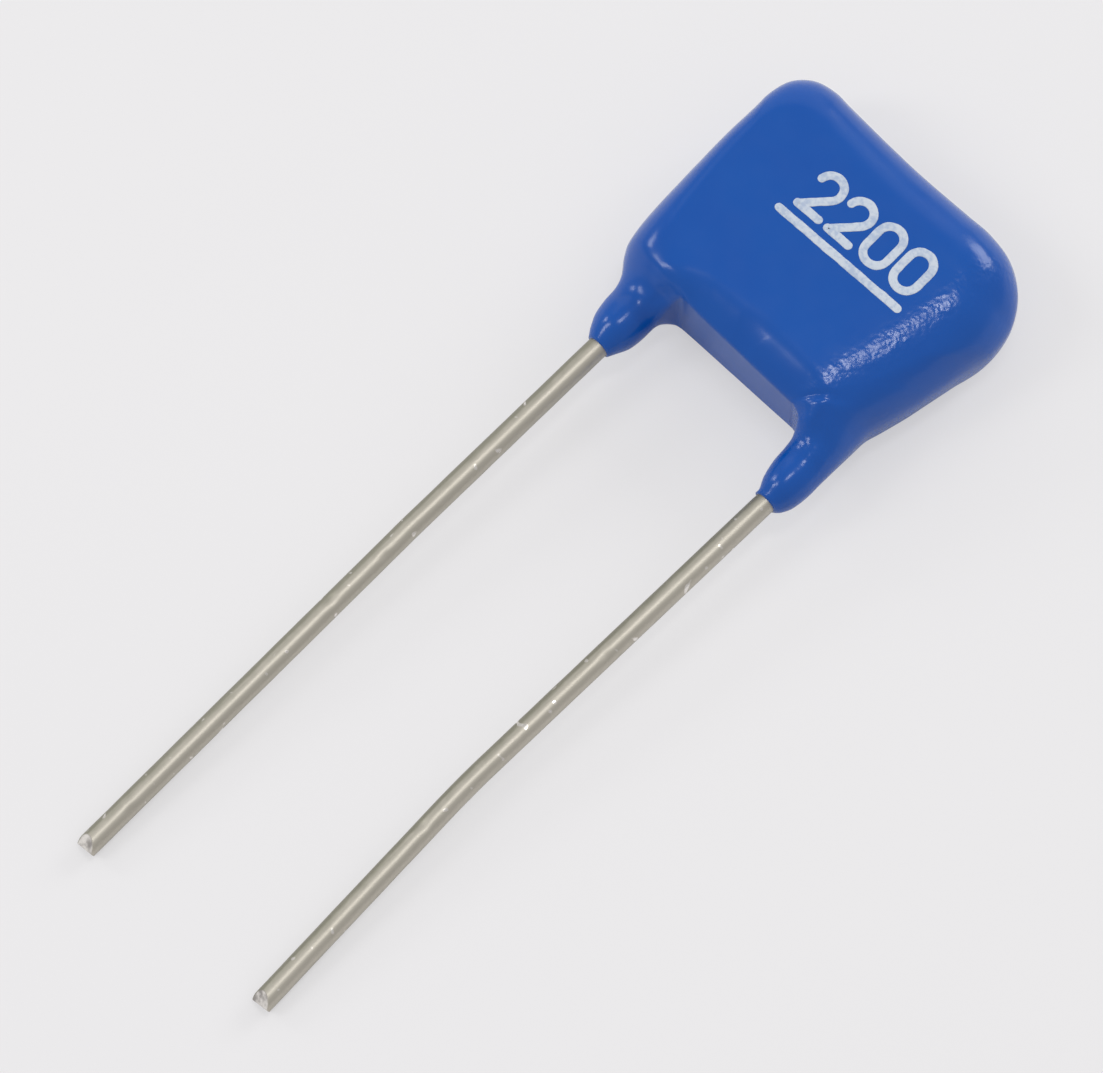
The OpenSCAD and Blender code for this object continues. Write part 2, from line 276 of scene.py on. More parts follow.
class Graph:
    """A material's node tree, with short ways to add nodes and links."""

    def __init__(self, name: str) -> None:
        """Starts a material that holds a Principled shader and its output.

        Args:
            name: Name of the material.
        """
        self.material = bpy.data.materials.new(name)
        self.material.use_nodes = True
        self.nodes = self.material.node_tree.nodes
        self.links = self.material.node_tree.links
        self.shader = self.nodes["Principled BSDF"]
        self.place = self.nodes.new("ShaderNodeTexCoord").outputs["Object"]

    def add(self, kind: str, **values: object) -> bpy.types.Node:
        """Adds a node.

        Args:
            kind: The node's type, without its ShaderNode prefix.
            values: Properties of the node, or values of its inputs by name, with _ for a space.

        Returns:
            The new node.
        """
        node = self.nodes.new("ShaderNode" + kind)
        for key, value in values.items():
            if hasattr(node, key):
                setattr(node, key, value)
            else:
                self.feed(node.inputs[key.replace("_", " ")], value)
        return node

    def feed(self, socket: Socket, value: Feed) -> None:
        """Fills an input.

        Args:
            socket: The input.
            value: Another socket to link to it, or the value that it takes.
        """
        if isinstance(value, Socket):
            self.links.new(value, socket)
        else:
            socket.default_value = value

    def attribute(self, name: str) -> Socket:
        """Returns a number that the piece's own mesh holds."""
        return self.add("Attribute", attribute_name=name).outputs["Fac"]

    def noise(self, size: float, detail: float = 2.0, place: Socket | None = None) -> Socket:
        """Returns cloudy noise from 0 to 1, whose patches have a size in millimetres."""
        scale, place = 1 / (size * MM), place or self.place
        return self.add("TexNoise", Scale=scale, Detail=detail, Vector=place).outputs["Fac"]

    def ramp(self, value: Socket, low: float, high: float, *onto: float) -> Socket:
        """Carries a value smoothly from one range onto another, and holds it past the ends.

        Args:
            value: The value to carry.
            low: Start of its range.
            high: End of its range.
            onto: What low and high become, or nothing for 0 and 1.

        Returns:
            The socket that holds the result.
        """
        node = self.add("MapRange", interpolation_type="SMOOTHSTEP")
        for socket, number in zip(node.inputs, (value, low, high, *(onto or (0.0, 1.0)))):
            self.feed(socket, number)
        return node.outputs["Result"]

    def blend(self, share: Feed, first: Feed, second: Feed) -> Socket:
        """Mixes two colours.

        Args:
            share: How far to go from the first to the second.
            first: Colour at nought.
            second: Colour at one.

        Returns:
            The socket that holds the mixed colour.
        """
        node = self.add("Mix", data_type="RGBA")
        for number, value in zip(MIX_INPUTS, (share, first, second)):
            self.feed(node.inputs[number], value)
        return node.outputs[MIX_OUTPUT]

    def total(self, *terms: tuple[Feed, Feed]) -> Socket:
        """Adds numbers up, each times its own weight.

        Args:
            terms: Pairs of a number and its weight.

        Returns:
            The socket that holds the sum.
        """
        running: Feed = 0.0
        for value, weight in terms:
            node = self.add("Math", operation="MULTIPLY_ADD")
            for socket, number in zip(node.inputs, (value, weight, running)):
                self.feed(socket, number)
            running = node.outputs[0]
        return running

    def relief(self, height: Socket, depth: float) -> None:
        """Bumps the surface by a height of 0 to 1 that stands depth millimetres high."""
        node = self.add("Bump", Strength=1.0, Distance=depth * MM, Height=height)
        self.links.new(node.outputs["Normal"], self.shader.inputs["Normal"])

    def finish(self, **values: Feed) -> Material:
        """Fills the shader's inputs.

        Args:
            values: A socket or a value for each input, named with _ for a space.

        Returns:
            The material.
        """
        for key, value in values.items():
            self.feed(self.shader.inputs[key.replace("_", " ")], value)
        return self.material


class Finish(ABC):
    """A surface finish that can make its own material."""

    @abstractmethod
    def material(self) -> Material:
        """Makes the material."""

    def dress(self, *pieces: Piece) -> None:
        """Makes the material once and puts it on every material slot of some pieces.

        Args:
            pieces: The pieces that share it.
        """
        made = self.material()
        for piece in pieces:
            if not piece.data.materials:
                piece.data.materials.append(made)
            for slot in piece.material_slots:
                slot.link = "OBJECT"
                slot.material = made


@dataclass(frozen=True)
class EpoxyFinish(Finish):
    """Glossy blue epoxy with a fine orange peel, left by a dip that has run and set.

    Sizes of patches are in millimetres.  Calm is the share of the peel's depth that the level
    face has, and wet is how much smoother the slumped skin is.
    """

    deep: Colour = (0.001, 0.071, 0.365, 1.0)
    light: Colour = (0.001, 0.083, 0.390, 1.0)
    cloud: float = 1.6
    peel: float = 0.15
    peel_detail: float = 1.5
    peel_depth: float = 0.0125
    calm: float = 0.08
    gloss_patch: float = 1.6 / 3
    gloss_range: Pair = (0.3, 0.7)
    roughness: Pair = (0.19, 0.24)
    wet: float = 0.03
    ior: float = 1.44

    def material(self) -> Material:
        """Colour drifts in slow clouds, and a peel bumps the gloss, most on the slumped skin.

        Returns:
            The material.
        """
        g = Graph("blue_epoxy")
        slumped = g.attribute("slumped")
        peel = g.noise(self.peel, detail=self.peel_detail)
        g.relief(g.total((peel, g.ramp(slumped, 0, 1, self.calm, 1))), self.peel_depth)
        gloss = g.ramp(g.noise(self.gloss_patch), *self.gloss_range, *self.roughness)
        return g.finish(
            Base_Color=g.blend(g.noise(self.cloud), self.deep, self.light),
            Roughness=g.total((gloss, 1.0), (slumped, -self.wet)),
            IOR=self.ior,
        )


@dataclass(frozen=True)
class TinnedFinish(Finish):
    """Dull tinned wire: paler along its top from a painted sheen, streaked along its length, with
    painted glints as bright specks.

    The painted sheen's crest, where the wire is palest, is an angle in degrees round it.  Worth is
    how much the painted sheen on the top, the streaks and the spots count in its paleness.  The cut
    at the tip is mottled metal, its pale patches painted glints.
    """

    radius: float
    pale: Colour = (0.54, 0.51, 0.44, 1.0)
    dull: Colour = (0.32, 0.312, 0.25, 1.0)
    bright: Colour = (0.84, 0.81, 0.76, 1.0)
    shade: Colour = (0.36, 0.34, 0.32, 1.0)
    sheen_crest: float = 50.0
    streak: float = 0.09
    stretch: float = 12.0
    spot: float = 0.25
    detail: float = 3.0
    worth: Triple = (0.7, 0.5, 0.3)
    pale_range: Pair = (0.4, 1.1)
    glint: float = 0.2
    glint_range: Pair = (0.75, 0.83)
    cut_range: Pair = (0.35, 0.65)
    grain_depth: float = 0.003
    roughness: Pair = (0.47, 0.24)

    def material(self) -> Material:
        """Streaks and the painted sheen on the top follow the wire's own map, and a noise's peaks
        are painted glints.

        Returns:
            The material.
        """
        g = Graph("tinned_wire")
        wire = g.add("UVMap", uv_map="wire").outputs[0]
        round_ = g.add("SeparateXYZ", Vector=wire).outputs["Y"]
        # Painted sheen: paler towards the crest's angle round the wire, the side that the light
        # falls on, and duller on the far side.
        turn = g.total((round_, 1 / (self.radius * MM)), (1.0, math.radians(90 - self.sheen_crest)))
        painted_sheen = g.add("Math", operation="SINE")
        g.feed(painted_sheen.inputs[0], turn)
        stretched = g.add("Mapping", Vector=wire, Scale=(1 / self.stretch, 1, 1)).outputs[0]
        streaks = g.noise(self.streak, detail=self.detail, place=stretched)
        spots = g.noise(self.spot, detail=self.detail)
        sheen_and_grain = g.total(*zip((g.ramp(painted_sheen.outputs[0], 0, 1), streaks, spots), self.worth))
        tin_with_sheen = g.blend(g.ramp(sheen_and_grain, *self.pale_range), self.dull, self.pale)
        # Painted glints: specks of a pale colour, with less roughness, where small dents would
        # catch the light.
        is_glint = g.ramp(g.noise(self.glint, detail=0.0), *self.glint_range)
        glinted = g.blend(is_glint, tin_with_sheen, self.bright)
        # The cut is a random mottle of a dark metal tone and painted glints.
        cut = g.blend(g.ramp(g.noise(self.spot), *self.cut_range), self.shade, self.bright)
        is_cut = g.attribute("cut")
        g.relief(g.total((streaks, 0.5), (spots, 0.5)), self.grain_depth)
        return g.finish(
            Base_Color=g.blend(is_cut, glinted, cut),
            Metallic=1.0,
            Roughness=g.ramp(g.total((is_glint, 1.0), (is_cut, 1.0)), 0, 1, *self.roughness),
        )


@dataclass(frozen=True)
class InkFinish(Finish):
    """Pale stamped ink, thin enough for a little of the blue to show through in patches.

    The patches are fine ones and coarse ones, each a size in millimetres and a weight.
    """

    solid: Colour = (0.56, 0.62, 0.70, 1.0)
    thin: Colour = (0.40, 0.48, 0.62, 1.0)
    fine: Pair = (0.10, 0.6)
    coarse: Pair = (0.5, 0.4)
    fine_detail: float = 3.0
    thin_range: Pair = (0.42, 0.62)
    grain: float = 0.04
    grain_depth: float = 0.0005
    roughness: float = 0.55

    def material(self) -> Material:
        """Two sizes of noise say where the ink is thin.

        Returns:
            The material.
        """
        g = Graph("pale_ink")
        fine = g.noise(self.fine[0], detail=self.fine_detail)
        patches = g.total((fine, self.fine[1]), (g.noise(self.coarse[0]), self.coarse[1]))
        g.relief(g.noise(self.grain), self.grain_depth)
        colour = g.blend(g.ramp(patches, *self.thin_range), self.solid, self.thin)
        return g.finish(Base_Color=colour, Roughness=self.roughness)


@dataclass(frozen=True)
class GrainFinish(Finish):
    """A fine grain of two colours, dry or metallic, for a piece that the coating hides.

    Contrast is the range of the grain over which the colour turns, or None for all of it.
    """

    name: str
    dark: Colour
    pale: Colour
    roughness: float
    metallic: float = 1.0
    grain: float = 0.08
    grain_detail: float = 3.0
    grain_depth: float = 0.001
    contrast: Pair | None = None

    def material(self) -> Material:
        """The grain mixes the two colours and bumps the surface.

        Returns:
            The material.
        """
        g = Graph(self.name)
        grain = g.noise(self.grain, detail=self.grain_detail)
        g.relief(grain, self.grain_depth)
        share = g.ramp(grain, *self.contrast) if self.contrast else grain
        colour = g.blend(share, self.dark, self.pale)
        return g.finish(Base_Color=colour, Metallic=self.metallic, Roughness=self.roughness)


class Inner(Enum):
    """The finishes that the coating hides, each named as the first word of its nodes."""

    DIELECTRIC = GrainFinish(
        "fired_ceramic", (0.20, 0.125, 0.075, 1.0), (0.29, 0.20, 0.13, 1.0), 0.6,
        metallic=0.0, grain=0.05, grain_detail=4.0, contrast=(0.35, 0.65),
    )
    ELECTRODE = GrainFinish(
        "silver_palladium_film", (0.45, 0.43, 0.39, 1.0), (0.56, 0.54, 0.50, 1.0), 0.35
    )
    TERMINATION = GrainFinish(
        "fired_silver", (0.60, 0.60, 0.61, 1.0), (0.72, 0.72, 0.73, 1.0), 0.50
    )
    SOLDER = GrainFinish("set_solder", (0.50, 0.50, 0.51, 1.0), (0.66, 0.66, 0.67, 1.0), 0.28)


# ---- The coating ----


@dataclass
class Coating:
    """The dipped epoxy skin, a loft between two rails, from the left leg's mouth to the right's.

    A station is one cross-section, upright on the line from the outer rail to the inner rail.
    It holds nine numbers: outer x, outer y, inner x, inner y, half thickness outside, half
    thickness inside, inner edge radius, width of the outer rounding and width of the fall to
    the ridge.  A pair of sizes is for the left and the right side, and a place is x and y.

    Leg stations are shares: height over base, then outer half width, inner half width and half
    thickness, each over leg_r.  Left_start and right_end are the half thicknesses of the body's
    first two and last two stations, over half_t.  Beside lists the body's stations that get one
    more just before them, and the share of the way at which it stands.  A lump is x, y, height
    above the middle, and how proud it stands.
    """

    seat: Seat
    # The legs
    lead_x: float = 2.54
    base: float = 1.82
    leg_r: float = 0.575
    mouth_r: float = 0.3
    left_leg: tuple[Quad, ...] = (
        (0.11, 0.76, 0.66, 0.73), (0.27, 1.00, 0.86, 0.95),
        (0.46, 1.13, 0.92, 1.03), (0.66, 1.20, 0.92, 1.0),
    )
    right_leg: tuple[Quad, ...] = (
        (0.065, 0.70, 0.52, 0.66), (0.20, 0.87, 0.73, 0.87),
        (0.41, 0.94, 0.90, 0.99), (0.65, 0.92, 0.98, 1.02),
    )
    root_shares: Pair = (0.3, 0.65)
    # The body's outline and thickness
    body_left: float = -3.96
    body_right: float = 3.63
    body_top: float = 7.78
    half_t: float = 1.34
    shoulder: Pair = (-3.76, 2.22)
    shoulder_bow: Pair = (0.55, 0.2)
    left_full: float = 0.65
    waist: Pair = (3.02, 2.72)
    waist_bow: Pair = (0.5, 0.42)
    corner_r: Pair = (1.0, 1.85)
    corner_points: tuple[int, int] = (4, 5)
    top_dip: float = 0.07
    # The lower edge, the roundings, and the stations that differ or are added
    edge_x: Pair = (-1.80, 1.58)
    edge_half: Pair = (0.98, 0.78)
    edge_r: float = 0.15
    fall_w: Pair = (0.8, 1.0)
    round_w: Pair = (1.05, 1.65)
    left_start: Pair = (0.95, 0.992)
    right_end: Pair = (0.992, 0.93)
    beside: tuple[tuple[int, float], ...] = (
        (3, 0.68), (7, 0.22), (8, 0.70), (13, 0.38), (14, 0.62),
    )
    # Limits and curves of a section
    round_share: float = 0.49
    fall_share: float = 0.9
    fullness: float = 0.5
    full_from: float = 1.2
    fall_power: float = 1.9
    steepest: float = 0.8
    # Where the skin has slumped before it set
    slump: float = 0.6
    slump_w: float = 1.9
    slump_power: float = 2.5
    slump_from_x: float = 2.9
    slump_y: Pair = (2.3, 6.5)
    hollow: Pair = (-3.4, 1.2)
    hollow_w: float = 1.7
    hollow_fall: float = 0.4
    full_peel: float = 0.06
    # What stands proud of it
    lumps: tuple[Quad, ...] = (
        (-2.66, 1.10, 0.575, 0.035),
        (-2.62, 0.50, 0.575, 0.03),
        (2.62, 1.40, 0.575, 0.035),
        (2.55, 0.48, 0.575, 0.03),
        (-2.17, 1.42, 0.80, -0.10),
    )
    lump_w: float = 0.3
    swell: Ripple = Ripple(seed=8, wavelength=2.2)
    swell_depth: float = 0.006
    peel: Ripple = Ripple(seed=3, wavelength=0.5)
    peel_depth: float = 0.0015
    # How many points there are, and the length that a radian of turning is worth
    span_rows: int = 16
    rows: int = 300
    columns: int = 300
    bend_worth: float = 0.15
    side_points: int = 60
    face_points: int = 25
    fall_points: int = 29
    ridge_points: int = 13
    wall_points: int = 9

    def __post_init__(self) -> None:
        """Runs the loft's curve through its stations, and finds the right side's rail on it."""
        self.curve = spread(catmull_rom(self.stations(), self.span_rows)[None], self.rows)[0]
        x, y = self.curve[:, 0], self.curve[:, 1]
        on_right = (x > self.slump_from_x) & (y > self.slump_y[0]) & (y < self.slump_y[1])
        self.side_rail = self.curve[on_right, 0:2]

    def leg(self, side: Side) -> Array:
        """Stations of one leg, from its mouth up.

        Args:
            side: Which leg.

        Returns:
            One row of nine numbers for each station.
        """
        share = np.array(self.left_leg if side is Side.LEFT else self.right_leg)
        y = np.concatenate([[0], share[:, 0] * self.base])
        outer, inner, half = np.vstack([np.full(3, self.mouth_r), share[:, 1:] * self.leg_r]).T
        out_x = side.value * (self.lead_x + outer)
        in_x = side.value * (self.lead_x - inner)
        fall = np.full(len(y), self.fall_w[0 if side is Side.LEFT else 1])
        return np.stack([out_x, y, in_x, y, half, half, half, half, fall], axis=1)

    def root(self, leg: Array, body: Array) -> Array:
        """Stations between a leg's last one and the body's first one.

        The outer rail and the thickness swell in an S, and the inner rail turns a quarter of an
        ellipse, 1 - cos across and sin up, from the leg into the lower edge.

        Args:
            leg: The leg's last station.
            body: The body's station beside it.

        Returns:
            Two stations, the one near the leg first.
        """
        t = np.array(self.root_shares)
        s, across, up = ease(t), 1 - np.cos(t * np.pi / 2), np.sin(t * np.pi / 2)
        return mix(leg, body, np.stack([s, t, across, up, s, s, s, s, s], axis=1))

    def outline(self) -> Array:
        """The body's outer rail in plan, from the left shoulder over the top to the right waist.

        The two upper corners are arcs, the sides bow out from the shoulder and the waist, and
        the top edge dips a little halfway.

        Returns:
            The rail's points, one row each.
        """
        (left_r, right_r), (left_points, right_points) = self.corner_r, self.corner_points
        left = np.array([self.body_left + left_r, self.body_top - left_r])
        right = np.array([self.body_right - right_r, self.body_top - right_r])
        (foot_x, foot_y), (waist_x, waist_y) = self.shoulder, self.waist
        across, up = self.shoulder_bow
        waist_across, waist_up = self.waist_bow
        return np.vstack([
            self.shoulder,
            [mix(foot_x, self.body_left, across), mix(foot_y, left[1], up)],
            [self.body_left, mix(foot_y, left[1], self.left_full)],
            arc(left, left_r, 180, 90, left_points),
            [mix(left[0], right[0], 0.5), self.body_top - self.top_dip],
            arc(right, right_r, 90, 0, right_points),
            [mix(waist_x, self.body_right, waist_across), mix(waist_y, right[1], waist_up)],
            self.waist,
        ])

    def body(self) -> Array:
        """The body's stations, with a few more that keep its long stretches straight.

        Returns:
            One row of nine numbers for each station.
        """
        rail = self.outline()
        share = np.linspace(0, 1, len(rail))
        body = np.column_stack([
            rail,
            mix(*self.edge_x, share),
            np.full(len(rail), self.base),
            np.full(len(rail), self.half_t),
            mix(*self.edge_half, share),
            np.full(len(rail), self.edge_r),
            mix(*self.round_w, share),
            mix(*self.fall_w, share),
        ])
        body[:2, 4] = self.half_t * np.array(self.left_start)
        body[-2:, 4] = self.half_t * np.array(self.right_end)
        at = np.array([number for number, _ in self.beside])
        near = np.array([share for _, share in self.beside])[:, None]
        return np.insert(body, at, mix(body[at - 1], body[at], near), axis=0)

    def stations(self) -> Array:
        """All stations in turn: left leg, left root, body, right root and right leg.

        Returns:
            One row of nine numbers for each station.
        """
        left, body, right = self.leg(Side.LEFT), self.body(), self.leg(Side.RIGHT)
        left_root = self.root(left[-1], body[0])
        right_root = self.root(right[-1], body[-1])
        return np.vstack([left, left_root, body, right_root[::-1], right[::-1]])

    def half_section(self, station: Array, width: Array) -> Array:
        """Upper half of each section, as distance from the inner rail and height above the middle.

        From the outermost point the side is a quarter of a superellipse, the face runs level,
        then falls to the ridge, the ridge is a quarter of a circle, and the wall below it runs
        straight down to the middle.

        Args:
            station: Half thicknesses, edge radius, rounding and fall, one row for each section.
            width: Distance between the rails, one for each section.

        Returns:
            Sections by points by two.
        """
        outer_half, inner_half, inner_r, rounding, fall_w = station.T[..., None]
        outer_half = np.minimum(outer_half, self.half_t)
        round_w = np.minimum(rounding, self.round_share * width)
        ridge = np.minimum(np.minimum(inner_r, self.round_share * width), inner_half)
        level = width - round_w
        fall = np.minimum(fall_w, self.fall_share * (level - ridge))
        power = 2 / (2 + self.fullness * np.clip(width - self.full_from, 0, 1))
        turn = np.linspace(0, np.pi / 2, self.side_points)
        run, drop, edge = (
            np.linspace(0, 1, count + 1)[1:]
            for count in (self.face_points, self.fall_points, self.ridge_points)
        )
        wall = np.linspace(1, 0, self.wall_points + 1)[1:]
        steepest = self.steepest * fall * np.minimum(1, fall / ridge)
        inner_half = np.clip(inner_half, outer_half - steepest, outer_half)
        end_slope = np.arctan2(self.fall_power * (outer_half - inner_half), fall)
        turned = mix(end_slope, np.pi / 2, edge)
        lip = ridge * (1 - np.sin(end_slope))
        foot = inner_half - ridge * np.cos(end_slope)
        distance = np.hstack([
            level + round_w * np.cos(turn) ** power,
            mix(level, lip + fall, run),
            lip + fall * (1 - drop),
            ridge * (1 - np.sin(turned)),
            np.zeros_like(foot * wall),
        ])
        height = np.hstack([
            outer_half * np.sin(turn),
            outer_half + np.zeros_like(run),
            mix(outer_half, inner_half, drop**self.fall_power),
            foot + ridge * np.cos(turned),
            foot * wall,
        ])
        return np.stack([distance, height], axis=-1)

    def slumped(self, plan: Array) -> Array:
        """How far the face has slumped, towards the right side and at the left root.

        On the right it is slump times a power of how near that side's rail is, from 0 at
        slump_w away to 1 at the rail.  At the left root it is hollow_fall times the square of
        how near the hollow's middle is, from 0 at hollow_w away.

        Args:
            plan: Points in plan, with two numbers in the last axis.

        Returns:
            The fall in millimetres.
        """
        near = np.full(plan.shape[:-1], self.slump_w)
        for point in self.side_rail:
            near = np.minimum(near, np.linalg.norm(plan - point, axis=-1))
        right = self.slump * (1 - near / self.slump_w) ** self.slump_power
        at_root = np.linalg.norm(plan - self.hollow, axis=-1)
        return right + self.hollow_fall * np.maximum(1 - at_root / self.hollow_w, 0) ** 2

    def grid(self) -> Array:
        """The smooth skin, before its relief.

        Returns:
            Sections along the loft, points round each, and three numbers for each point.
        """
        outer, inner = self.curve[:, None, 0:2], self.curve[:, None, 2:4]
        width = np.linalg.norm(self.curve[:, 0:2] - self.curve[:, 2:4], axis=1)[:, None]
        half = self.half_section(self.curve[:, 4:], width)
        whole = np.concatenate([half, half[:, -2::-1] * [1, -1]], axis=1)
        whole = spread(whole, self.columns + 1, self.bend_worth)[:, :-1]
        plan = mix(inner, outer, whole[..., :1] / width[..., None])
        height = whole[..., 1]
        height = height - self.slumped(plan) * np.clip(height / self.half_t, 0, 1)
        return np.concatenate([plan, self.seat.mid_z + height[..., None]], axis=-1)

    def relief(self, points: Array) -> Array:
        """How proud the skin stands: a slow swell, a finer peel, and a bell for each lump.

        Args:
            points: Points near the skin, in the seat frame.

        Returns:
            One height for each point.
        """
        proud = self.swell_depth * self.swell(points) + self.peel_depth * self.peel(points)
        for x, y, up, height in self.lumps:
            sheen_crest = np.array([x, y, self.seat.mid_z + up])
            proud = proud + height * bell(np.linalg.norm(points - sheen_crest, axis=-1), self.lump_w)
        return proud

    def face_height(self, plan: Array) -> Array:
        """Returns the face's height over points in plan: the slumped level plus the relief."""
        top = self.seat.mid_z + self.half_t - self.slumped(plan)
        return top + self.relief(np.concatenate([plan, top[..., None]], axis=-1))

    def peel_share(self, points: Array) -> Array:
        """Returns the peel's share: f e^(1 - f) for a fall of f full_peels, and 0 on the left."""
        fall = self.slumped(points[:, :2]) * (points[:, 0] > 0) / self.full_peel
        return fall * np.exp(1 - fall)

    def build(self) -> Piece:
        """Makes the coating, which takes the place of the imported one.

        Returns:
            The coating, which never goes below the surface that the part lies on.
        """
        grid = self.grid()
        grid = grid + grid_normals(grid) * self.relief(grid)[..., None]
        grid[..., 2] = np.maximum(grid[..., 2], 0)
        points = tube_points(grid)
        piece = self.seat.mesh("coating_skin", points, tube_faces(*grid.shape[:2]))
        set_share(piece, "slumped", self.peel_share(points))
        EpoxyFinish().dress(piece)
        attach(piece, "root")
        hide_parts("coating")
        return piece


# ---- The leads ----


def turning(axis: Array, angle: Array) -> Array:
    """Rotation matrices about one axis, by Rodrigues' formula: 1 + sin K + (1 - cos) K K.

    Args:
        axis: A unit vector.
        angle: Angles in radians.

    Returns:
        One matrix for each angle.
    """
    x, y, z = axis
    cross = np.array([[0, -z, y], [z, 0, -x], [-y, x, 0]])
    a = angle[:, None, None]
    return np.eye(3) + np.sin(a) * cross + (1 - np.cos(a)) * (cross @ cross)


@dataclass
class LeadWire:
    """A tinned wire: the shank in the body, a bend at the mouth, a run, a slight bend and the tip.

    The wire's own frame has X across the leads, Y up and Z along the wire, away from the body.
    Free is its length past the bend at the mouth, toe and bend are angles in degrees, and a
    dent is a distance along the wire and a place round it in degrees.
    """

    seat: Seat
    side: Side
    free: float
    toe: float
    bend_at: float
    bend: float
    dents: tuple[Pair, ...]
    # The wire, its bends and the slopes of its cut
    lead_x: float = 2.54
    radius: float = 0.25
    lap: float = 5.49
    mouth_bend_r: float = 4.0
    sway_bend_r: float = 25.0
    upper_slope: float = 48.0
    lower_slope: float = 15.0
    tip_turn: float = 25.0
    # Its dents and ripples
    dent_depth: float = 0.02
    dent_w: float = 0.13
    ripple_seed: int = 20
    ripple_length: float = 0.8
    ripple_depth: float = 0.0025
    ripple_reach: float = 0.4
    # Its grid, and the angle past which an edge is sharp
    columns: int = 48
    shank_end: float = -0.2
    shank_rows: int = 12
    run_start: float = -0.1
    run_rows: int = 250
    tip_run: float = 0.6
    tip_rows: int = 11
    cut_rows: int = 7
    sharp: float = 35.0

    def fall_angle(self) -> float:
        """Returns the angle, in degrees, by which the lead falls until its tip rests."""
        drop, rise = self.mouth_bend_r - self.radius, self.seat.mid_z - self.mouth_bend_r
        reach = math.hypot(drop, self.free)
        return math.degrees(math.asin(rise / reach) + math.atan2(drop, self.free))

    def length(self) -> float:
        """Returns the wire's length from the mouth to the ridge of its tip."""
        turn = math.radians(math.hypot(self.fall_angle(), self.toe))
        return self.free + turn * self.mouth_bend_r

    def path(self, distance: Array) -> tuple[Array, Array]:
        """The wire's axis: a line, an arc, a line, an arc and a line, end to end.

        Args:
            distance: Distances along the axis, nought at the mouth, negative inside the body.

        Returns:
            Points on the axis, and a matrix for each whose columns are the wire's X, Y and Z.
        """
        fall = self.fall_angle()
        turn, roll = math.hypot(fall, self.toe), math.atan2(-fall, self.toe)
        towards = np.array([math.cos(roll), math.sin(roll), 0])
        hinge = np.array([-math.sin(roll), math.cos(roll), 0])
        along = np.array([0, 0, 1.0])
        mouth_arc = math.radians(turn) * self.mouth_bend_r
        sway_arc = math.radians(self.bend) * self.sway_bend_r
        past_mouth = distance - mouth_arc
        past_run = past_mouth - self.bend_at
        angle = np.clip(distance, 0, mouth_arc) / self.mouth_bend_r
        sway = np.clip(past_run, 0, sway_arc) / self.sway_bend_r
        first, second = turning(hinge, angle), turning(np.array([0, 1, 0]), sway)
        bent = (1 - np.cos(angle))[:, None] * towards + np.sin(angle)[:, None] * along
        swayed = self.sway_bend_r * np.stack([1 - np.cos(sway), 0 * sway, np.sin(sway)], axis=1)
        point = (
            np.minimum(distance, 0)[:, None] * along
            + self.mouth_bend_r * bent
            + np.clip(past_mouth, 0, self.bend_at)[:, None] * first[:, :, 2]
            + np.einsum("nij,nj->ni", first, swayed)
            + np.maximum(past_run - sway_arc, 0)[:, None] * (first @ second)[:, :, 2]
        )
        to_seat = np.array([[1, 0, 0], [0, 0, -1], [0, 1, 0]])
        place = np.array([self.side.value * self.lead_x, 0, self.seat.mid_z])
        return point @ to_seat.T + place, to_seat @ first @ second

    def cut_depth(self, across: Array, up: Array) -> Array:
        """Returns the cut's depth behind its ridge: the distance to either side times a slope."""
        angle = math.radians(self.tip_turn + 90)
        off = across * math.cos(angle) + up * math.sin(angle)
        upper, lower = np.tan(np.radians([self.upper_slope, self.lower_slope]))
        return np.maximum(off, 0) * upper + np.maximum(-off, 0) * lower

    def grid_rows(self, ring: Array) -> tuple[Array, Array]:
        """Where the rows of the wire's grid lie.

        They run square along the shank and the free wire, then lean over until they meet the
        cut's rim, and then close in over the cut's two faces.

        Args:
            ring: Unit vectors round the wire, one for each column.

        Returns:
            Each point's distance along the wire, and each row's share of the radius.
        """
        end = self.length()
        behind = self.cut_depth(*(self.radius * ring).T)
        shank = np.linspace(-self.lap, self.shank_end, self.shank_rows)
        run = np.linspace(self.run_start, end - self.tip_run, self.run_rows)
        lean = np.linspace(0, 1, self.tip_rows + 1)[1:, None]
        closing = np.linspace(1, 0, self.cut_rows + 2)[1:-1, None]
        distance = np.vstack([
            np.repeat(np.concatenate([shank, run])[:, None], self.columns, axis=1),
            mix(end - self.tip_run, end - behind, lean),
            end - closing * behind,
        ])
        share = np.ones((len(distance), 1))
        share[-self.cut_rows :] = closing
        return distance, share

    def dent(self, distance: Array, theta: Array) -> Array:
        """Depth of the dents: a bell of the distance over the wire's surface to each of them.

        Args:
            distance: Distance along the wire of each point of its grid.
            theta: Angle round the wire of each column.

        Returns:
            One depth for each point.
        """
        depth = np.zeros_like(distance)
        for at, clock in self.dents:
            turn = np.angle(np.exp(1j * (theta - math.radians(clock))))
            gap = np.hypot(distance - at, turn * self.radius)
            depth = depth + self.dent_depth * bell(gap, self.dent_w)
        return depth

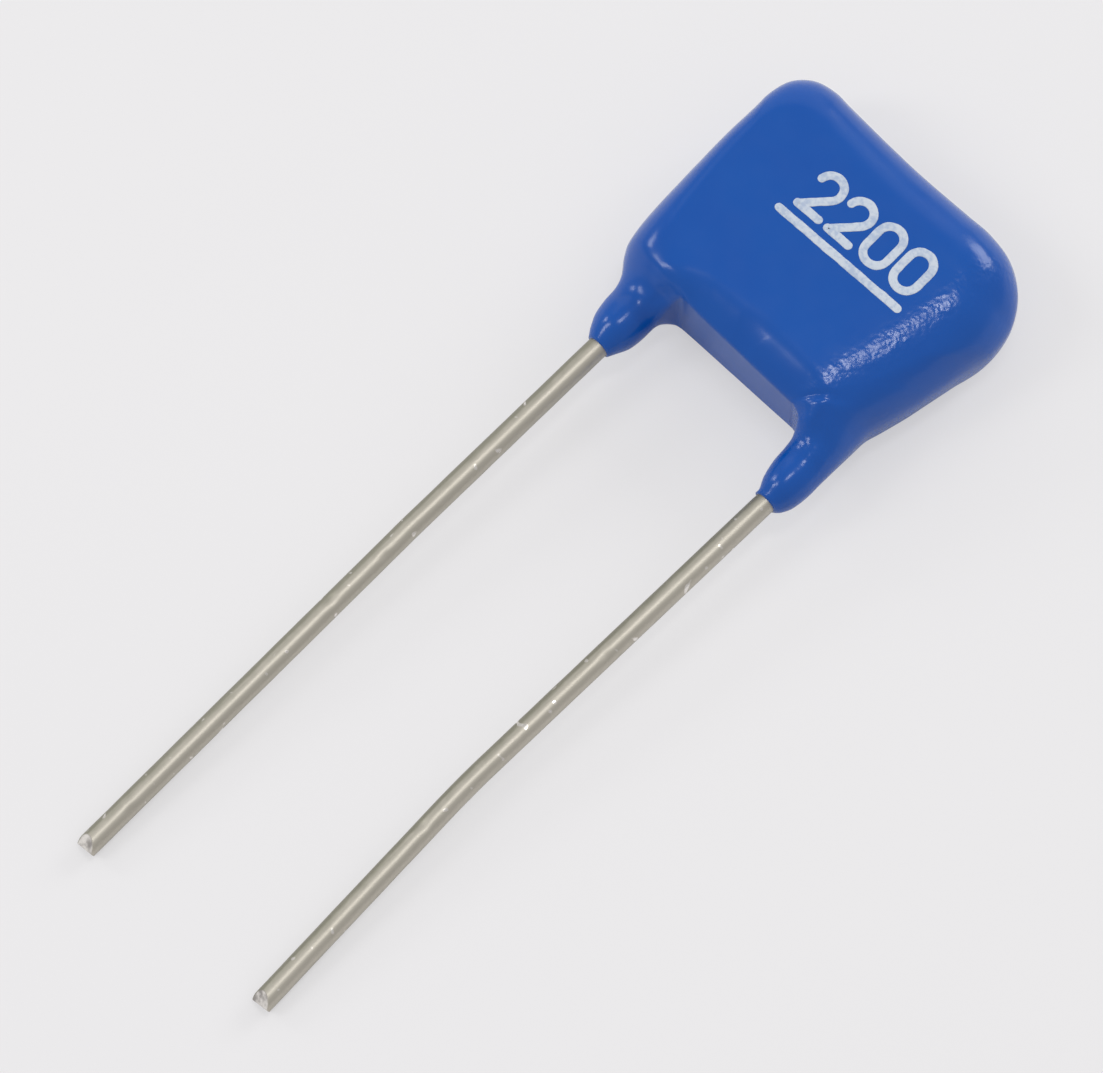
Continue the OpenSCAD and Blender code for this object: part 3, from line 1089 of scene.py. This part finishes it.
    def build(self) -> Piece:
        """Makes the lead, which takes the place of the imported one.

        Returns:
            The lead, closed at its inner end and at its cut.
        """
        name = self.side.name.lower()
        theta = np.linspace(0, 2 * np.pi, self.columns, endpoint=False)
        ring = np.stack([np.cos(theta), np.sin(theta)], axis=1)
        distance, share = self.grid_rows(ring)
        axis, turned = self.path(distance.ravel())
        axis = axis.reshape(*distance.shape, 3)
        turned = turned.reshape(*distance.shape, 3, 3)
        ripple = Ripple(self.ripple_seed + self.side.value, self.ripple_length)
        rough = self.ripple_depth * ripple(axis + ring @ np.eye(2, 3) * self.ripple_reach)
        radial = share * (self.radius + rough - self.dent(distance, theta))
        grid = axis + np.einsum("rcij,cj->rci", turned[..., :2], ring) * radial[..., None]
        piece = self.seat.mesh("lead_wire_" + name, tube_points(grid), tube_faces(*grid.shape[:2]))
        set_share(piece, "cut", np.append(np.repeat(share < 1, self.columns), [False, True]))
        self.map(piece, distance, theta)
        piece.data.set_sharp_from_angle(angle=math.radians(self.sharp))
        TinnedFinish(self.radius).dress(piece)
        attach(piece, "root")
        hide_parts("lead_" + name)
        return piece

    def map(self, piece: Piece, distance: Array, theta: Array) -> None:
        """Gives the lead a map in metres: along the wire, and round it.

        Args:
            piece: The lead.
            distance: Distance along the wire of each point of its grid.
            theta: Angle round the wire of each column.
        """
        flat = np.column_stack([distance.ravel(), np.tile(theta * self.radius, len(distance))])
        flat = np.vstack([flat, flat[:1], flat[-1:]]) * MM
        corner = np.zeros(len(piece.data.loops), np.int32)
        piece.data.loops.foreach_get("vertex_index", corner)
        layer = piece.data.uv_layers.new(name="wire")
        layer.data.foreach_set("uv", flat[corner].astype(np.float32).ravel())


# ---- The marking ----


@dataclass
class Marking:
    """Stamped ink: a plain number over a bar, as thin raised films on the face.

    The number has only noughts and twos.  Hook is where a two's upper arc starts and ends, in
    degrees, and heel is where its stem comes down.
    """

    seat: Seat
    coating: Coating
    number: str = "2200"
    glyph_h: float = 1.02
    glyph_w: float = 0.60
    pitch: float = 0.87
    hook: Pair = (170, -40)
    heel: Pair = (0.02, 0.0)
    bar_start: Pair = (-1.70, 4.68)
    bar_length: float = 3.45
    first_glyph: Pair = (0.22, 0.36)
    slant: float = 2.1
    # The pen and the film that it leaves
    pen_half: float = 0.1
    pen_step: float = 0.03
    film: float = 0.008
    sunk: float = 0.4
    wobble: Ripple = Ripple(seed=5, wavelength=0.25)
    wobble_depth: float = 0.008
    # How many points there are
    bowl_points: int = 16
    hook_points: int = 18
    least_points: int = 6
    cap_points: int = 6
    sides: int = 14

    def strokes(self, digit: str) -> list[Array]:
        """Pen strokes of a nought or a two.

        A nought is two half circles with straight sides between them.  A two is an arc that
        runs straight down to the heel, and a foot.

        Args:
            digit: Either digit.

        Returns:
            Its strokes, measured from its lower left corner.
        """
        r, h = self.glyph_w / 2, self.glyph_h
        if digit == "0":
            upper = arc((r, h - r), r, 0, 180, self.bowl_points)
            lower = arc((r, r), r, 180, 360, self.bowl_points)
            return [np.vstack([upper, lower, upper[:1]])]
        stem = np.vstack([arc((r, h - r), r, *self.hook, self.hook_points), self.heel])
        return [stem, np.array([[0.0, 0.0], [2 * r, 0.0]])]

    def ribbon(self, line: Array) -> Array:
        """A film along a line: its width is a half circle at each end, and its top a low dome.

        Args:
            line: The pen's path, in the seat frame's plan.

        Returns:
            A grid of points, rows along the line and columns round the film.
        """
        step = np.linalg.norm(np.diff(line, axis=0), axis=1)
        run = np.concatenate([[0], np.cumsum(step)])
        count = max(int(run[-1] / self.pen_step), self.least_points)
        even = np.linspace(0, run[-1], count)
        path = np.stack([np.interp(even, run, line[:, i]) for i in range(2)], axis=1)
        heading = np.gradient(path, axis=0)
        heading /= np.linalg.norm(heading, axis=1, keepdims=True)
        quarter = np.linspace(np.pi / 2, 0, self.cap_points + 1)[:-1]
        cap = self.pen_half * np.cos(quarter)
        reach = self.pen_half * np.sin(quarter)[:, None]
        before, after = path[0] - heading[0] * reach, path[-1] + heading[-1] * reach[::-1]
        centre = np.vstack([before, path, after])
        half = np.concatenate([cap, np.full(count, self.pen_half), cap[::-1]])[:, None]
        left = np.stack([-heading[:, 1], heading[:, 0]], axis=1)
        left = np.pad(left, ((self.cap_points, self.cap_points), (0, 0)), mode="edge")[:, None]
        angle = np.linspace(0, 2 * np.pi, self.sides, endpoint=False)
        plan = centre[:, None] + left * (np.cos(angle) * half)[..., None]
        wave = self.wobble(np.pad(plan, ((0, 0), (0, 0), (0, 1))))
        plan = plan + left * (self.wobble_depth * wave * np.cos(angle))[..., None]
        rise = self.film * np.maximum(np.sin(angle), -self.sunk) * half / self.pen_half
        return np.concatenate([plan, (self.coating.face_height(plan) + rise)[..., None]], axis=-1)

    def place(self, line: Array) -> Array:
        """Returns a line of the marking's own plan, turned and moved to where the bar starts."""
        a = math.radians(self.slant)
        turn = np.array([[math.cos(a), math.sin(a)], [-math.sin(a), math.cos(a)]])
        return line @ turn + self.bar_start

    def build(self) -> Piece:
        """Makes the bar and the number.

        Returns:
            All the films as one mesh.
        """
        lines = [np.array([[0.0, 0.0], [self.bar_length, 0.0]])]
        for index, digit in enumerate(self.number):
            corner = np.array(self.first_glyph) + [index * self.pitch, 0]
            lines += [stroke + corner for stroke in self.strokes(digit)]
        points, faces = [], []
        for line in lines:
            grid = self.ribbon(self.place(line))
            faces += tube_faces(*grid.shape[:2], offset=sum(map(len, points)))
            points.append(tube_points(grid))
        piece = self.seat.mesh("marking", np.vstack(points), faces)
        InkFinish().dress(piece)
        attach(piece, "root")
        return piece


# ---- What the coating hides ----


class ChipStack:
    """The ceramic block, electrodes, terminations and solder, carried over from the CAD model."""

    def kind(self, node: str) -> Inner:
        """Returns what kind of inner piece a node is."""
        return Inner[node.split("_")[0].upper()]

    def dress(self) -> list[str]:
        """Dresses the inner nodes, with one material for each kind.

        Returns:
            The nodes' names.
        """
        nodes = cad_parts
        inner = [name for name in sorted(nodes) if not nodes[name].hide_render]
        for kind in Inner:
            kind.value.dress(*(nodes[name] for name in inner if self.kind(name) is kind))
        return inner


# ---- Studio ----


@dataclass(frozen=True)
class Softbox:
    """A soft lamp: its direction from the part, its size, its level of light and its distance."""

    name: str
    direction: Triple
    size: Pair
    level: float
    distance: float = 300.0

    def build(self, aim: Vector) -> None:
        """Makes the lamp.

        A plate that faces the lamp at distance d gets an irradiance of pi times level when the
        lamp's power is level times pi squared times d squared.

        Args:
            aim: The point that the lamp looks at, in metres.
        """
        data = bpy.data.lights.new(self.name, "AREA")
        data.shape = "RECTANGLE"
        data.size, data.size_y = (s * MM for s in self.size)
        reach = self.distance * MM
        data.energy = self.level * (math.pi * reach) ** 2
        lamp = enter(self.name, data)
        back = Vector(self.direction).normalized()
        lamp.location = aim + back * reach
        lamp.rotation_euler = back.to_track_quat("Z", "Y").to_euler()


@dataclass(frozen=True)
class Studio:
    """The camera, the pale floor, the soft lamps and the plain surround.

    Glow shares are the shares of its colour with which the floor glows, for rays from the
    camera and for glossy rays.
    """

    # The camera
    azimuth: float = 45.0
    elevation: float = 70.0
    distance: float = 250.0
    view_width: float = 23.737
    sensor: float = 36.0
    clip: Pair = (0.01, 10.0)
    aim: Triple = (-0.164, 0.117, 1.35)
    # The floor
    floor_half: float = 1500.0
    floor_gap: float = 0.005
    floor_colour: Colour = (0.828, 0.820, 0.829, 1.0)
    floor_roughness: float = 0.7
    floor_specular: float = 0.2
    mottle: float = 9.0
    mottle_detail: float = 3.0
    mottle_shade: float = 0.99
    glow_share: float = 0.62
    glossy_share: float = 0.05
    # The light
    surround: float = 0.53
    surround_colour: Colour = (1.0, 0.99, 1.0, 1.0)
    lamps: tuple[Softbox, ...] = (
        Softbox("key_front_left", (-0.46, -0.55, 0.70), (64, 130), 0.20),
        Softbox("overhead", (0.06, 0.12, 0.99), (42, 85), 0.15),
        Softbox("low_back", (0.11, 0.89, 0.43), (140, 120), 0.32),
        Softbox("far_left", (-0.64, 0.64, 0.42), (300, 300), 0.12),
        Softbox("low_left", (-0.84, -0.25, 0.45), (70, 70), 0.12),
    )

    def camera(self) -> None:
        """Sets the camera on its distance from the aim, level and without shift."""
        a, e = math.radians(self.azimuth), math.radians(self.elevation)
        back = Vector((math.sin(a) * math.cos(e), -math.cos(a) * math.cos(e), math.sin(e)))
        data = bpy.data.cameras.new("camera")
        data.sensor_width = self.sensor
        data.lens = self.sensor * self.distance / self.view_width
        data.clip_start, data.clip_end = self.clip
        data.dof.use_dof = False
        camera = enter("camera", data)
        camera.location = (Vector(self.aim) + back * self.distance) * MM
        camera.rotation_euler = back.to_track_quat("Z", "Y").to_euler()
        bpy.context.scene.camera = camera

    def floor_material(self) -> Material:
        """A pale, faintly mottled finish that glows a little, so that the shadows on it are soft.

        Only rays from the camera and glossy rays see the glow, so it throws no soft light.

        Returns:
            The material.
        """
        g = Graph("pale_floor")
        darker = (*(self.mottle_shade * c for c in self.floor_colour[:3]), 1.0)
        mottle = g.blend(g.noise(self.mottle, detail=self.mottle_detail), self.floor_colour, darker)
        ray = g.add("LightPath").outputs
        seen, glossy = ray["Is Camera Ray"], ray["Is Glossy Ray"]
        lit = g.add("MixShader", Fac=g.total((seen, self.glow_share), (glossy, self.glossy_share)))
        glow = g.add("Emission", Color=mottle, Strength=1.0)
        g.links.new(g.shader.outputs[0], lit.inputs[1])
        g.links.new(glow.outputs[0], lit.inputs[2])
        g.links.new(lit.outputs[0], g.nodes["Material Output"].inputs["Surface"])
        return g.finish(
            Base_Color=mottle,
            Roughness=self.floor_roughness,
            Specular_IOR_Level=self.floor_specular,
        )

    def floor(self) -> None:
        """Lays the floor a hair below nought."""
        h, z = self.floor_half * MM, -self.floor_gap * MM
        data = bpy.data.meshes.new("floor")
        data.from_pydata([(-h, -h, z), (h, -h, z), (h, h, z), (-h, h, z)], [], [(0, 1, 2, 3)])
        floor = enter("floor", data)
        data.materials.append(self.floor_material())

    def world(self) -> None:
        """Surrounds everything with one even pale light."""
        world = bpy.data.worlds.new("surround")
        world.use_nodes = True
        back = world.node_tree.nodes["Background"]
        back.inputs["Color"].default_value = self.surround_colour
        back.inputs["Strength"].default_value = self.surround
        bpy.context.scene.world = world

    def build(self) -> None:
        """Makes all of it and sets the plain view transform."""
        self.camera()
        self.floor()
        self.world()
        for lamp in self.lamps:
            lamp.build(Vector(self.aim) * MM)
        bpy.context.scene.view_settings.view_transform = "Standard"


def main() -> None:
    """Builds the studio and every piece, and reports each one."""
    logging.basicConfig(level=logging.INFO, format="%(message)s")
    Studio().build()
    seat = Seat.from_frame()
    coating = Coating(seat)
    left = LeadWire(
        seat, Side.LEFT, free=15.4, toe=-0.3, bend_at=5.3, bend=0.8,
        dents=((6.6, 60), (8.1, 95), (14.4, 40)),
    )
    right = LeadWire(
        seat, Side.RIGHT, free=15.2, toe=-0.9, bend_at=8.0, bend=3.3,
        dents=((4.9, 70), (10.3, 100)),
    )
    for maker in (coating, left, right, Marking(seat, coating)):
        piece = maker.build()
        log.info("%s: %d faces", piece.name, len(piece.data.polygons))
    log.info("inner nodes: %s", ", ".join(ChipStack().dress()))


if __name__ == "__main__":
    main()
